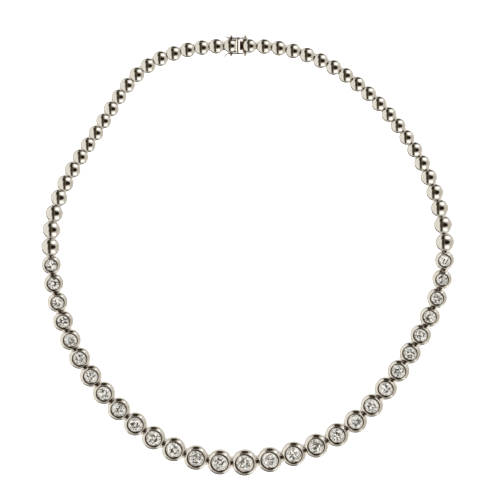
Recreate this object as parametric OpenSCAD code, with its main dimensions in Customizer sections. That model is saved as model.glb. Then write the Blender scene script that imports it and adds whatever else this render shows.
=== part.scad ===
// A graduated necklace of round bezel-set diamonds, lying flat in a closed loop.
// Polished domed links carry on round the back to a box clasp with two safety catches.
// Millimetres. X is to the right, Y goes from the centre stone to the clasp, Z is up.

/* [Graduation] */
// Diameter of the centre setting
centre_d = 8.3; // [8:0.05:8.6]
// Diameter of the settings next to it
next_d = 7.95; // [7.6:0.05:8.1]
// Diameter of the last setting on each side
end_setting_d = 6.05; // [5.9:0.05:6.4]
// Diameter of the plain link next to the last setting
first_plain_d = 5.82; // [5.4:0.02:5.9]
// Diameter of the plain links round the back
plain_d = 4.74; // [4.7:0.02:4.9]
// How much is filed flat off each end of a setting, where the links meet
setting_flat = 0.38; // [0.3:0.02:0.4]
// How much is filed flat off each end of a plain link
plain_flat = 0.2; // [0.18:0.01:0.22]
// Gap between the flat ends of neighbouring plain links in the left half
gap_left = 0.22; // [0.2:0.01:0.35]
// Gap between the flat ends of neighbouring plain links in the right half
gap_right = 0.31; // [0.2:0.01:0.35]
// How much wider the gaps between the settings are
setting_gap = 0.49; // [0.4:0.01:0.55]

/* [Settings] */
// Height of the smallest setting
setting_h = 2.65; // [2.6:0.05:3]
// Extra height for each millimetre of extra diameter
setting_rise = 0.36; // [0.34:0.01:0.45]
// Width of the polished rim of the centre setting
rim_w = 0.95; // [0.8:0.05:1]
// Width of the rim of the last setting on each side
end_rim_w = 0.85; // [0.8:0.05:0.95]
// Slope of the rim, in degrees
rim_slope = 40; // [30:1:42]
// Width of the sloping wall between the rim and the stone, in the centre setting
well_w = 0.55; // [0.45:0.05:0.6]
// The same width in the last setting on each side
end_well_w = 0.4; // [0.4:0.05:0.5]
// Depth of the stone's girdle below the rim
well_depth = 0.65; // [0.6:0.05:0.75]
// How far the settings lean inward half way up the left side, in degrees
lean_left = 3; // [0:0.5:7]
// The same lean half way up the right side
lean_right = 7; // [0:0.5:7]

/* [Stones] */
// Width of the table as a share of the stone's diameter
table_share = 0.57; // [0.5:0.01:0.62]
// Height of the crown as a share of the stone's diameter
crown_share = 0.15; // [0.12:0.01:0.16]
// Depth of the pavilion as a share of the stone's diameter
pavilion_share = 0.43; // [0.41:0.005:0.44]

/* [Plain links] */
// Height of the dome above its rim as a share of the link's radius
dome_share = 0.51; // [0.4:0.01:0.6]

/* [Clasp] */
// Distance between the clasp's two domes
clasp_pitch = 6; // [5.9:0.05:6.2]
// Distance from the middle of the clasp to the catches' hinge pegs
hinge_peg_x = 1.6; // [1.5:0.05:1.75]
// Distance from the middle of the clasp to the pegs that the catches hook over
hook_peg_x = 2.8; // [2.6:0.05:2.9]
// Thickness of the catches' wire
catch_wire = 0.38; // [0.34:0.01:0.4]

/* [Hidden] */
$fn = 48;

// How many of each link there are, and how many plain links are graded
side_settings = 14;
side_plain = 20;
graded = 7;
settings = 2 * side_settings + 1;
centre_link = side_plain + side_settings + 1;
links = settings + 2 * side_plain;
// Stones nearest the centre that are nodes of their own, on each side
side_main_stones = 5;

function two_digits(k) = k < 10 ? str("0", k) : str(k);
function setting_name(k) = str("setting_", two_digits(k));
function stone_name(k) = str("stone_", two_digits(k));
first_main = side_settings + 1 - side_main_stones;
last_main = side_settings + 1 + side_main_stones;

// The hinges. Each link has a fork with a cross bar at one end and an eye at the other.
bar_r = 0.16;
bar_play = 0.18;
eye_wall = 0.17;
eye_half_w = 0.33;
side_play = 0.21;
lug_w = 0.46;
lug_r = 0.38;
lug_arm_r = 0.35;
bar_head_r = 0.33;
floor_clear = 0.06;
arm_sink = 0.3;
// How much narrower an arm is than its lug or eye, and how far the bar stops short of the lugs' faces
arm_step = 0.03;
bar_stop = 0.05;
// Growth of a hinge for each millimetre of link diameter above the plain links
hinge_growth = 0.1;
// Half width of the broad fork on the end of the clasp
clasp_fork_half_w = 1.45;

// The undercut foot of a link, below its rim
foot_clear = 0.08;
foot_relief = 0.12;
setting_relief = 0.28;
flare_share = 0.65;
flare_inset = 0.04;
rim_edge = 0.12;
dome_step = 9;
cup_share = 0.6;
cup_h = 0.8;

// The wall and rim of a setting
base_edge = 0.1;
shoulder_r = 0.25;
crest_w = 0.06;
arc_steps = 5;
// How far the metal laps over the stone, and the gaps round the stone
lip = 0.08;
lip_h = 0.1;
stone_gap = 0.05;
groove_slope = 0.03;
girdle_t = 0.08;
seat_w = 0.4;

// The box clasp
clasp_dome_d = 4.36;
box_end_x = 0.08;
plate_x = 1.23;
plate_w = 4.34;
plate_h = 2.62;
plate_groove_w = 0.16;
plate_groove_d = 0.14;
box_foot_half_w = 2.05;
box_foot_x = 4.15;
deck_z = 2;
cavity_x = 3.6;
cavity_half_w = 1.45;
cavity_z = [0.5, 1.72];
shoulder_x = [0.95, 2.2];
shoulder_z = [0.2, 1.75];
tongue_half_w = 1.3;
leaf_t = 0.24;
tongue_nose_x = 3.45;
tongue_z = 0.62;
tongue_heel_x = 0.45;
tongue_rise = 0.42;
tab_x = [0.2, 0.75];
tab_z = 1.95;
tab_half_w = 1.2;
peg_r = 0.3;
peg_root_y = 1.8;
peg_z = 1.25;
peg_ball_r = 0.4;
peg_ball_y = 3.05;
catch_y = 2.46;
catch_bore_r = 0.36;
catch_eye_r = 0.72;
hook_r = 0.56;
hook_arc = [-15, 195];
waist_r = 0.36;
tail_r = 1.6;
// Thickness of the straight wire and the curl as a share of the rings' wire
shank_share = 0.86;

// The line that the necklace lies on, as control points of a closed smooth curve: [x, y],
// from the clasp round by the left side. Its size is set by the links.
LINE = [
    [1, 68.5], [-34.5, 66], [-46.5, 42], [-66, 16.5], [-63.5, -15.5], [-53, -41], [-28.5, -64.5],
    [-4, -70.5], [30, -61.5], [47.5, -39.5], [63.5, -11.5], [62.5, 15.5], [49, 42.5], [24.5, 64.5]
];
line_samples = 24;
// How far the clasp's middle lies past the start of the line
clasp_at = 2.3;

// A point of a uniform cubic curve through four control points, for t from 0 to 1
function blend_point(a, b, c, d, t) =
    (pow(1 - t, 3) * a + (3 * pow(t, 3) - 6 * t * t + 4) * b
    + (3 * t + 3 * t * t - 3 * pow(t, 3) + 1) * c + pow(t, 3) * d) / 6;
function control(i) = LINE[(i + len(LINE)) % len(LINE)];
sample_count = len(LINE) * line_samples;
function line_sample(n) =
    let (i = floor(n / line_samples), t = (n % line_samples) / line_samples)
    blend_point(control(i - 1), control(i), control(i + 1), control(i + 2), t);
samples = [for (n = [0:sample_count]) line_sample(n)];
steps = [for (n = [0:sample_count - 1]) norm(samples[n + 1] - samples[n])];
travel = [for (n = 0, s = 0; n <= sample_count; s = s + (n < sample_count ? steps[n] : 0), n = n + 1) s];
raw_length = travel[sample_count];
by_x = [for (n = [0:sample_count]) [travel[n], samples[n].x]];
by_y = [for (n = [0:sample_count]) [travel[n], samples[n].y]];

// Link i counts from the clasp round by the left side, and link 0 is the clasp
function from_centre(i) = abs(i - centre_link);
function diameter(i) =
    i % (links + 1) == 0 ? clasp_dome_d :
    i == centre_link ? centre_d :
    is_setting(i)
        ? next_d + (end_setting_d - next_d) * (from_centre(i) - 1) / (side_settings - 1)
        : max(plain_d, first_plain_d
            - (first_plain_d - plain_d) * (from_centre(i) - side_settings - 1) / graded);
function is_setting(i) = from_centre(i) <= side_settings;
function gap(i) =
    (is_setting(i) ? setting_gap : 0)
    + (i % (links + 1) == 0 || i == centre_link ? (gap_left + gap_right) / 2 :
        i < centre_link ? gap_left : gap_right);
// The length of a link between its flat ends, and its half of the distance to the next middle
function length(i) =
    diameter(i) - (i % (links + 1) == 0 ? 0 : is_setting(i) ? 2 * setting_flat : 2 * plain_flat);
function hinge_x(i) = (length(i) + gap(i)) / 2;
function span(i) = (i == 0 ? clasp_pitch : 0) + 2 * hinge_x(i);
ends = [for (i = 0, s = span(0) / 2; i <= links; i = i + 1, s = s + (i <= links ? span(i) : 0)) s];
loop_length = ends[links] + span(0) / 2;
line_scale = loop_length / raw_length;

// A place on the line, a distance from the clasp's middle
function wrap(s) = s < 0 ? s + loop_length : s >= loop_length ? s - loop_length : s;
function along(s) =
    let (t = wrap(s + clasp_at) / line_scale)
    line_scale * [lookup(t, by_x), lookup(t, by_y)];
// Hinge i is at the far end of link i, and link i runs from hinge i - 1 to hinge i
hinges = [for (i = [0:links]) along(ends[i])];
function hinge_before(i) = hinges[(i + links) % (links + 1)];
function raw_middle(i) = (hinge_before(i) + hinges[i]) / 2;
function heading(i) =
    let (d = hinges[i] - hinge_before(i))
    atan2(d.y, d.x);

// The settings lean inward at the sides, and each one stands on the edge of its base
function lean(i) =
    is_setting(i)
        ? (i < centre_link ? lean_left : lean_right)
            * pow(sin(180 * from_centre(i) / (side_settings + 1)), 2)
        : 0;
lean_z = 0.6;

// Hinge sizes: a scale for each hinge and for each link
function mean_d(i) = (diameter(i) + diameter((i + 1) % (links + 1))) / 2;
function hinge_scale(i) = 1 + hinge_growth * (mean_d(i) - plain_d);
function bore_r(k) = bar_r * k + bar_play;
function eye_r(k) = bore_r(k) + eye_wall * k;
function hinge_z(k) = eye_r(k) + floor_clear;
function scale_before(i) = hinge_scale((i + links) % (links + 1));
function scale_after(i) = hinge_scale(i);
function link_scale(i) = max(scale_before(i), scale_after(i));

// Foot and rim levels of a link
function foot_r(i) = hinge_x(i) - eye_r(link_scale(i)) - (is_setting(i) ? setting_relief : foot_relief);
function foot_z(i) = hinge_z(link_scale(i)) + eye_r(link_scale(i)) + foot_clear;
function flare_z(i) = foot_z(i) + flare_share * eye_r(link_scale(i));
function base_r(i) = diameter(i) / 2 - base_edge;
function lift(i) = base_r(i) * sin(lean(i)) - lean_z * (1 - cos(lean(i)));

// How far a link reaches sideways, and the middle of the whole loop
function reach(i) = diameter(i) / 2 * cos(lean(i)) + (lean_z - base_edge) * sin(lean(i));
catch_reach = peg_ball_y + peg_ball_r;
right_x = max([for (i = [1:links]) raw_middle(i).x + reach(i)]);
left_x = min([for (i = [1:links]) raw_middle(i).x - reach(i)]);
low_y = min([for (i = [1:links]) raw_middle(i).y - reach(i)]);
clasp_tilt = heading(0) - 180;
high_y = raw_middle(0).y + catch_reach * cos(clasp_tilt) + hook_peg_x * abs(sin(clasp_tilt));
loop_middle = [(right_x + left_x) / 2, (high_y + low_y) / 2];
function middle(i) = raw_middle(i) - loop_middle;

// Puts a link in its place, with its +X along the line and its +Y towards the inside of the loop
module place(i) {
    translate([middle(i).x, middle(i).y, lift(i)])
        rotate([0, 0, heading(i)])
            translate([0, 0, lean_z])
                rotate([-lean(i), 0, 0])
                    translate([0, 0, -lean_z])
                        children();
}

// A quarter of an oval from the rim up to the crown, a point for every few degrees
function dome_arc(r, z, h) =
    [for (a = [0:dome_step:90]) [r * cos(a), z + h * sin(a)]];

// A cylinder across the chain, centred on a point of its middle plane
module across(x, z, r, half_w) {
    translate([x, 0, z])
        rotate([90, 0, 0])
            cylinder(r = r, h = 2 * half_w, center = true);
}

function fork_root(foot, half_w) = sqrt(foot * foot - half_w * half_w) - arm_sink;

// A fork with its cross bar, reaching from root_x to x
module fork(x, k, root_x, half_w) {
    y_in = eye_half_w * k + side_play;
    z = hinge_z(k);
    across(x, z, bar_r * k, half_w - bar_stop);
    for (side = [-1, 1]) {
        lug_y = side * (y_in + half_w) / 2;
        lug_t = half_w - y_in;
        translate([x, lug_y, 0])
            across(0, z, lug_r * k, lug_t / 2);
        translate([root_x, lug_y - lug_t / 2 + arm_step, z - lug_arm_r * k])
            cube([x - root_x, lug_t - 2 * arm_step, 2 * lug_arm_r * k]);
        translate([x, side * half_w, z])
            rotate([90, 0, 0])
                sphere(r = bar_head_r * k);
    }
}

// An eye round the next bar, reaching back from the foot to -x
module eye(x, k, foot) {
    z = hinge_z(k);
    arm_h = 1.3 * eye_r(k);
    arm_half_w = eye_half_w * k - arm_step;
    difference() {
        union() {
            across(-x, z, eye_r(k), eye_half_w * k);
            translate([-x, -arm_half_w, z - arm_h / 2])
                cube([x - foot + arm_sink, 2 * arm_half_w, arm_h]);
        }
        across(-x, z, bore_r(k), eye_half_w * k + 1);
    }
}

// Cuts everything beyond x off both ends of a link, up to a height
module trim_ends(x, height) {
    for (side = [-1, 1])
        translate([side * (x + 5) - 5, -5, height - 10])
            cube(10);
}

function fork_half_w(k) = (eye_half_w + lug_w) * k + side_play;

// The fork and eye of link i. A plain link's foot is round, and a setting's is flat at its ends.
module hinge_ends(i) {
    x = hinge_x(i);
    half_w = fork_half_w(scale_after(i));
    root_x = is_setting(i) ? foot_r(i) - arm_sink : fork_root(foot_r(i), half_w);
    fork(x, scale_after(i), root_x, half_w);
    eye(x, scale_before(i), foot_r(i));
}

// A domed link, hollowed from below, with its dome cut flat at both ends
module domed_body(i) {
    r = diameter(i) / 2;
    rim_z = flare_z(i) + rim_edge;
    cup_r = cup_share * foot_r(i);
    difference() {
        rotate_extrude()
            polygon(concat(
                [[0, cup_h], [0.7 * cup_r, 0.8 * cup_h], [cup_r, 0]],
                [[foot_r(i), 0], [foot_r(i), foot_z(i)], [r - flare_inset, flare_z(i)]],
                dome_arc(r, rim_z, dome_share * r)
            ));
        trim_ends(length(i) / 2, 5);
    }
}

// Heights in a setting
function setting_top(i) = setting_h + setting_rise * (diameter(i) - end_setting_d);
function rim(i) = rim_w + (end_rim_w - rim_w) * from_centre(i) / side_settings;
function well(i) = well_w + (end_well_w - well_w) * from_centre(i) / side_settings;
function stone_r(i) = diameter(i) / 2 - rim(i) - well(i);
function girdle_z(i) = setting_top(i) - well_depth;
pavilion_slope = 2 * pavilion_share;

// A round collet: straight wall, sloping rim, sloping well, groove for the girdle and open back.
// Its rim is filed flat at both ends, and its ends are cut away deeper below the rim, for the hinges.
module collet(i) {
    r = diameter(i) / 2;
    top = setting_top(i);
    sr = stone_r(i);
    gz = girdle_z(i);
    lap_z = gz + lip + stone_gap;
    seat_z = gz - girdle_t - seat_w * pavilion_slope - 1.4 * stone_gap;
    // Where the slope of the rim meets the shoulder, and the shoulder's middle
    slope_w = rim(i) - crest_w - shoulder_r * (1 - sin(rim_slope));
    arc_z = top - slope_w * tan(rim_slope) - shoulder_r * cos(rim_slope);
    difference() {
        rotate_extrude()
            polygon(concat(
                [[sr - seat_w, 0], [base_r(i), 0], [r, base_edge]],
                [for (n = [0:arc_steps])
                    let (a = (90 - rim_slope) * n / arc_steps)
                    [r - shoulder_r + shoulder_r * cos(a), arc_z + shoulder_r * sin(a)]],
                [[r - rim(i) + crest_w, top], [r - rim(i), top - crest_w]],
                [[sr - lip, lap_z + lip_h], [sr - lip, lap_z]],
                [[sr + stone_gap, lap_z - groove_slope], [sr + stone_gap, gz - girdle_t - groove_slope]],
                [[sr - seat_w, seat_z]]
            ));
        trim_ends(foot_r(i), foot_z(i));
        trim_ends(length(i) / 2, 5);
    }
}

// A round brilliant with an eight-sided table, kites, stars, a sixteen-sided girdle and a pavilion
module brilliant(r) {
    rt = table_share * r;
    crown_h = 2 * crown_share * r;
    pav_h = 2 * pavilion_share * r;
    rj = (rt * cos(22.5) + r) / 2;
    hj = crown_h * (r - rj * cos(22.5)) / (r - rt);
    rk = 0.24 * r;
    hk = -girdle_t - pav_h * (1 - rk * cos(22.5) / r);
    function ring(n, radius, z, turn) =
        [for (i = [0:n - 1]) [radius * cos(360 * i / n + turn), radius * sin(360 * i / n + turn), z]];
    // Rings of corners from the table down to the culet, and where each ring starts
    corners = concat(
        ring(8, rt, crown_h, 0), ring(8, rj, hj, 22.5), ring(16, r, 0, 0),
        ring(16, r, -girdle_t, 0), ring(8, rk, hk, 22.5), [[0, 0, -girdle_t - pav_h]]
    );
    join = 8;
    girdle = 16;
    under = 32;
    low = 48;
    culet = 56;
    faces = concat(
        [[for (i = [7:-1:0]) i]],
        [for (i = [0:7]) [i, (i + 1) % 8, join + i]],
        [for (i = [0:7]) [i, join + i, girdle + 2 * i]],
        [for (i = [0:7]) [i, girdle + 2 * i, join + (i + 7) % 8]],
        [for (i = [0:7]) [join + i, girdle + 2 * i + 1, girdle + 2 * i]],
        [for (i = [0:7]) [join + i, girdle + (2 * i + 2) % 16, girdle + 2 * i + 1]],
        [for (i = [0:15]) [girdle + i, girdle + (i + 1) % 16, under + (i + 1) % 16, under + i]],
        [for (i = [0:7]) [under + 2 * i, under + 2 * i + 1, low + i]],
        [for (i = [0:7]) [under + 2 * i + 1, under + (2 * i + 2) % 16, low + i]],
        [for (i = [0:7]) [under + 2 * i, low + i, culet]],
        [for (i = [0:7]) [under + 2 * i, culet, low + (i + 7) % 8]]
    );
    polyhedron(points = corners, faces = faces);
}

// Setting k counts from the left end of the row of stones
function setting_link(k) = side_plain + k;

module setting(k) {
    i = setting_link(k);
    color("silver")
        place(i) {
            collet(i);
            hinge_ends(i);
        }
}

module stone(k) {
    i = setting_link(k);
    color("aliceblue")
        place(i)
            translate([0, 0, girdle_z(i)])
                brilliant(stone_r(i));
}

module plain_link(i) {
    color("silver")
        place(i) {
            domed_body(i);
            hinge_ends(i);
        }
}

// The clasp lies along its own line, with the box towards +X of that line
dome_x = clasp_pitch / 2;
clasp_rim_z = flare_z(0) + rim_edge;

// A ball-headed peg standing out of both sides
module pegs(x) {
    for (side = [-1, 1]) {
        translate([x, side * (peg_root_y + peg_ball_y) / 2, 0])
            across(0, peg_z, peg_r, (peg_ball_y - peg_root_y) / 2);
        translate([x, side * peg_ball_y, peg_z])
            sphere(r = peg_ball_r);
    }
}

// The end of the clasp that the chain hangs on: a domed body as on a plain link
module clasp_dome() {
    rotate_extrude()
        polygon(concat(
            [[0, 0], [foot_r(0), 0], [foot_r(0), foot_z(0)], [clasp_dome_d / 2 - flare_inset, flare_z(0)]],
            dome_arc(clasp_dome_d / 2, clasp_rim_z, dome_share * clasp_dome_d / 2)
        ));
}

module clasp_box() {
    k = scale_after(0);
    color("silver")
        place(0) {
            difference() {
                union() {
                    translate([dome_x, 0, 0])
                        clasp_dome();
                    translate([plate_x, -box_foot_half_w, 0])
                        cube([dome_x - plate_x, 2 * box_foot_half_w, deck_z]);
                    intersection() {
                        translate([dome_x, 0, 0])
                            cylinder(r = box_foot_half_w, h = flare_z(0));
                        translate([plate_x, -box_foot_half_w, 0])
                            cube([box_foot_x - plate_x, 2 * box_foot_half_w, flare_z(0)]);
                    }
                    translate([box_end_x, -plate_w / 2, 0])
                        cube([plate_x - box_end_x, plate_w, plate_h]);
                }
                translate([box_end_x - 1, -cavity_half_w, cavity_z[0]])
                    cube([cavity_x - box_end_x + 1, 2 * cavity_half_w, cavity_z[1] - cavity_z[0]]);
                for (side = [-1, 1])
                    translate([(box_end_x + plate_x) / 2, side * plate_w / 2, plate_h / 2])
                        cube([plate_groove_w, 2 * plate_groove_d, plate_h + 1], center = true);
                translate([(box_end_x + plate_x) / 2, 0, plate_h])
                    cube([plate_groove_w, plate_w + 1, 2 * plate_groove_d], center = true);
            }
            pegs(hook_peg_x);
            fork(dome_x + hinge_x(0), k, box_foot_x - arm_sink, clasp_fork_half_w);
        }
}

// A folded leaf: flat below, bent back at the nose, rising to a heel with a thumb tab
module leaf() {
    top_z = tongue_z + leaf_t;
    rotate([90, 0, 0])
        linear_extrude(height = 2 * tongue_half_w, center = true)
            polygon([
                [-shoulder_x[0] - 0.3, tongue_z], [tongue_nose_x, tongue_z], [tongue_nose_x, top_z],
                [tongue_heel_x, top_z + tongue_rise], [tongue_heel_x, top_z + tongue_rise - leaf_t],
                [tongue_nose_x - 0.9, top_z], [-shoulder_x[0] - 0.3, top_z]
            ]);
    translate([-tab_x[1], -tab_half_w, tongue_z])
        cube([tab_x[1] - tab_x[0], 2 * tab_half_w, tab_z - tongue_z]);
}

module clasp_tongue() {
    color("silver")
        place(0) {
            translate([-dome_x, 0, 0])
                clasp_dome();
            translate([-shoulder_x[1], -box_foot_half_w, shoulder_z[0]])
                cube([shoulder_x[1] - shoulder_x[0], 2 * box_foot_half_w, shoulder_z[1] - shoulder_z[0]]);
            leaf();
            pegs(-hinge_peg_x);
            translate([-dome_x, 0, 0])
                eye(hinge_x(0), scale_before(0), foot_r(0));
        }
}

// A ring or part of a ring of wire standing along the chain, angles from the hinge side up
module wire_arc(radius, from, to) {
    rotate([90, 0, 180])
        rotate([0, 0, from])
            rotate_extrude(angle = to - from)
                translate([radius, 0])
                    circle(r = catch_wire / 2, $fn = 24);
}

// A safety catch: an eye on the hinge peg, a shank with a small ring, and a hook with a thumb curl
// that bends away from the clasp. Side is 1 inside the loop and -1 outside it, and curl is in degrees.
module catch(side, curl) {
    half_wire = catch_wire / 2;
    shank_r = shank_share * half_wire;
    waist_x = (hook_peg_x - hinge_peg_x) / 2;
    color("silver")
        place(0)
            translate([0, side * catch_y, peg_z]) {
                difference() {
                    across(-hinge_peg_x, 0, catch_eye_r, half_wire);
                    across(-hinge_peg_x, 0, catch_bore_r, catch_wire);
                }
                translate([-hinge_peg_x + catch_eye_r - 0.1, 0, 0])
                    rotate([0, 90, 0])
                        cylinder(r = shank_r, h = waist_x - waist_r + hinge_peg_x - catch_eye_r + 0.1);
                translate([waist_x, 0, 0])
                    wire_arc(waist_r, 0, 360);
                translate([waist_x + waist_r, 0, 0])
                    rotate([0, 90, 0])
                        cylinder(r = shank_r, h = hook_peg_x - hook_r - waist_x - waist_r);
                translate([hook_peg_x, 0, 0])
                    wire_arc(hook_r, hook_arc[0], hook_arc[1]);
                translate([hook_peg_x + hook_r, side * tail_r, 0])
                    scale([1, side, 1])
                        rotate([0, 0, -90])
                            rotate_extrude(angle = curl)
                                translate([tail_r, 0])
                                    circle(r = shank_r, $fn = 24);
            }
}

for (k = [1:settings])
    setting(k);
for (k = [first_main:last_main])
    stone(k);
for (k = [1:first_main - 1]) stone(k);  // stones_left
for (k = [last_main + 1:settings]) stone(k);  // stones_right
for (i = [1:side_plain]) plain_link(i);  // links_left
for (i = [links - side_plain + 1:links]) plain_link(i);  // links_right
clasp_box();
clasp_tongue();
catch(-1, 50);  // catch_outer
catch(1, 70);  // catch_inner
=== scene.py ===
"""The looks of a graduated diamond necklace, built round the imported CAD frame.

Shapes are in mm until they are placed in the frame, which is in metres. Link 0 is the clasp. The others are numbered
from the clasp's box, down the left side of the picture and up the right.
"""

import math

import bmesh
import bpy
import numpy as np
from mathutils import Matrix, Vector

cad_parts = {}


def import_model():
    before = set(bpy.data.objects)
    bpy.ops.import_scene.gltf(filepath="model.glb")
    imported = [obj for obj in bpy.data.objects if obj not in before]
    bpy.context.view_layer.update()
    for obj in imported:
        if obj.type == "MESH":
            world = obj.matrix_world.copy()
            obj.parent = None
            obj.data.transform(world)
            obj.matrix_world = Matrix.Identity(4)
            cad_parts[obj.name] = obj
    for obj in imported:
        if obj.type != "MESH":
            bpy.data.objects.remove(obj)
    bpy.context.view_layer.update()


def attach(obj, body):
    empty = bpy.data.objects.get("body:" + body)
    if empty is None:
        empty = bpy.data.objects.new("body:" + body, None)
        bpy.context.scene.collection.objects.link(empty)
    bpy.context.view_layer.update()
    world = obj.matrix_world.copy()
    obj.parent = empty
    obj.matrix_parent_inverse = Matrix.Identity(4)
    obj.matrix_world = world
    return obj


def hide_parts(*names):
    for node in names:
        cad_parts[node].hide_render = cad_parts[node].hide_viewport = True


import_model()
MM = 0.001

# ---- Sizes of the part, as in its source, apart from SHOULDER_R: the rims have a rounder shoulder here ----
# The links: diameters, what is filed off their ends, the gaps between them, and how far the settings lean
CENTRE_D, NEXT_D, END_SETTING_D, FIRST_PLAIN_D, PLAIN_D, CLASP_DOME_D = 8.3, 7.95, 6.05, 5.82, 4.74, 4.36
SETTING_FLAT, PLAIN_FLAT = 0.38, 0.2
GAP_LEFT, GAP_RIGHT, SETTING_GAP = 0.22, 0.31, 0.49
LEAN_LEFT, LEAN_RIGHT, LEAN_Z = math.radians(3), math.radians(7), 0.6
# How many links there are on each side, how many plain ones are graded, and the stones that are nodes of their own
SIDE_SETTINGS, SIDE_PLAIN, GRADED, SIDE_MAIN = 14, 20, 7, 5
SETTINGS = 2 * SIDE_SETTINGS + 1
CENTRE_LINK = SIDE_PLAIN + SIDE_SETTINGS + 1
LINKS = SETTINGS + 2 * SIDE_PLAIN
FIRST_MAIN, LAST_MAIN = SIDE_SETTINGS + 1 - SIDE_MAIN, SIDE_SETTINGS + 1 + SIDE_MAIN
# The settings
SETTING_H, SETTING_RISE, RIM_W, END_RIM_W, RIM_SLOPE = 2.65, 0.36, 0.95, 0.85, math.radians(40)
WELL_W, END_WELL_W, WELL_DEPTH, SHOULDER_R, CREST_W = 0.55, 0.4, 0.65, 0.5, 0.06
LIP, LIP_H, STONE_GAP, GROOVE_SLOPE, SEAT_W, SEAT_DROP = 0.08, 0.1, 0.05, 0.03, 0.4, 1.4
# The stones
TABLE_SHARE, CROWN_SHARE, PAVILION_SHARE, GIRDLE_T = 0.57, 0.15, 0.43, 0.08
# The hinges between the links
BAR_R, BAR_PLAY, EYE_WALL, EYE_HALF_W, SIDE_PLAY = 0.16, 0.18, 0.17, 0.33, 0.21
LUG_W, LUG_R, BAR_HEAD_R, FLOOR_CLEAR, ARM_SINK, ARM_STEP, ARM_H = 0.46, 0.38, 0.33, 0.06, 0.3, 0.03, 1.3
HINGE_GROWTH, CLASP_FORK_HALF_W = 0.1, 1.45
# The links' feet, and the domes of the plain links
FOOT_CLEAR, FOOT_RELIEF, SETTING_RELIEF, FLARE_SHARE, RIM_EDGE, BASE_EDGE = 0.08, 0.12, 0.28, 0.65, 0.12, 0.1
DOME_SHARE, CUP_SHARE, CUP_H = 0.51, 0.6, 0.8
# The clasp's box
CLASP_PITCH = 6.0
BOX_END_X, PLATE_X, PLATE_W, PLATE_H, PLATE_GROOVE_W, PLATE_GROOVE_D = 0.08, 1.23, 4.34, 2.62, 0.16, 0.14
BOX_FOOT_HALF_W, BOX_FOOT_X, DECK_Z, CAVITY_X, CAVITY_HALF_W, CAVITY_Z = 2.05, 4.15, 2.0, 3.6, 1.45, (0.5, 1.72)
# The clasp's tongue
SHOULDER_X, SHOULDER_Z, TONGUE_HALF_W, LEAF_T, TONGUE_NOSE_X = (0.95, 2.2), (0.2, 1.75), 1.3, 0.24, 3.45
TONGUE_Z, TONGUE_HEEL_X, TONGUE_RISE, TAB_X, TAB_Z, TAB_HALF_W = 0.62, 0.45, 0.42, (0.2, 0.75), 1.95, 1.2
# The pegs and the safety catches
HINGE_PEG_X, HOOK_PEG_X, PEG_R, PEG_ROOT_Y, PEG_Z, PEG_BALL_R, PEG_BALL_Y = 1.6, 2.8, 0.3, 1.8, 1.25, 0.4, 3.05
CATCH_Y, CATCH_BORE_R, CATCH_EYE_R, HOOK_R, WAIST_R, TAIL_R = 2.46, 0.36, 0.72, 0.56, 0.36, 1.6
CATCH_WIRE, SHANK_SHARE = 0.38, 0.86
# The line of the loop, as the control points of a closed spline, and where the clasp is on it
LINE = [
    (1, 68.5), (-34.5, 66), (-46.5, 42), (-66, 16.5), (-63.5, -15.5), (-53, -41), (-28.5, -64.5),
    (-4, -70.5), (30, -61.5), (47.5, -39.5), (63.5, -11.5), (62.5, 15.5), (49, 42.5), (24.5, 64.5),
]
LINE_SAMPLES, CLASP_AT = 24, 2.3

# ---- Sizes that only the looks have ----
# The rounded edges of a setting: round its back, at the steps above its hinges and at its filed ends
BACK_EDGE, STEP_EDGE, END_EDGE = 0.05, 0.04, 0.03
# The rounded edges of the hinges' lugs, arms, rings and bars, and of the clasp's wall and leaf
LUG_EDGE, ARM_EDGE, RING_EDGE, ROD_EDGE, WALL_EDGE, LEAF_EDGE = 0.06, 0.05, 0.04, 0.03, 0.03, 0.04
# The lower ring of a stone's pavilion and the star inside its table, as shares of their radii
PAVILION_RING_SHARE, STAR_SHARE = 0.24, 0.3
# The pieces stay this much inside the part's own surfaces, and sink this much into each other
SHY, LAP = 0.01, 0.1
# How much of the well, from its outer edge, is painted dark as shade and reflection: on average, how much that swings,
# and where it is most
DARK_SHARE, DARK_SWING, DARK_TURN = 0.8, 0.2, math.radians(45)
# How many sides the turned shapes have
DOME_SIDES, PEG_SIDES, EYE_SIDES, BAR_SIDES, WIRE_SIDES = 64, 24, 28, 20, 14


# ---- Where each link lies: the same line as the source's ----
def line_samples():
    """Points along the closed cubic spline."""
    c = np.array(LINE, float)
    n = len(c)
    out = []
    for k in range(n * LINE_SAMPLES + 1):
        i, t = divmod(k, LINE_SAMPLES)
        t /= LINE_SAMPLES
        a, b, d, e = (c[(i + o) % n] for o in (-1, 0, 1, 2))
        out.append(((1 - t) ** 3 * a + (3 * t**3 - 6 * t * t + 4) * b
                    + (3 * t + 3 * t * t - 3 * t**3 + 1) * d + t**3 * e) / 6)
    return np.array(out)


SAMPLES = line_samples()
TRAVEL = np.concatenate([[0], np.cumsum(np.linalg.norm(np.diff(SAMPLES, axis=0), axis=1))])


def is_clasp(i):
    return i % (LINKS + 1) == 0


def before(i):
    """The number before i, round the loop."""
    return (i + LINKS) % (LINKS + 1)


def from_centre(i):
    return abs(i - CENTRE_LINK)


def diameter(i):
    if is_clasp(i):
        return CLASP_DOME_D
    f = from_centre(i)
    if f == 0:
        return CENTRE_D
    if f <= SIDE_SETTINGS:
        return NEXT_D + (END_SETTING_D - NEXT_D) * (f - 1) / (SIDE_SETTINGS - 1)
    return max(PLAIN_D, FIRST_PLAIN_D - (FIRST_PLAIN_D - PLAIN_D) * (f - SIDE_SETTINGS - 1) / GRADED)


def is_setting(i):
    return from_centre(i) <= SIDE_SETTINGS


def gap(i):
    extra = SETTING_GAP if is_setting(i) else 0
    if is_clasp(i) or i == CENTRE_LINK:
        return extra + (GAP_LEFT + GAP_RIGHT) / 2
    return extra + (GAP_LEFT if i < CENTRE_LINK else GAP_RIGHT)


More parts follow.
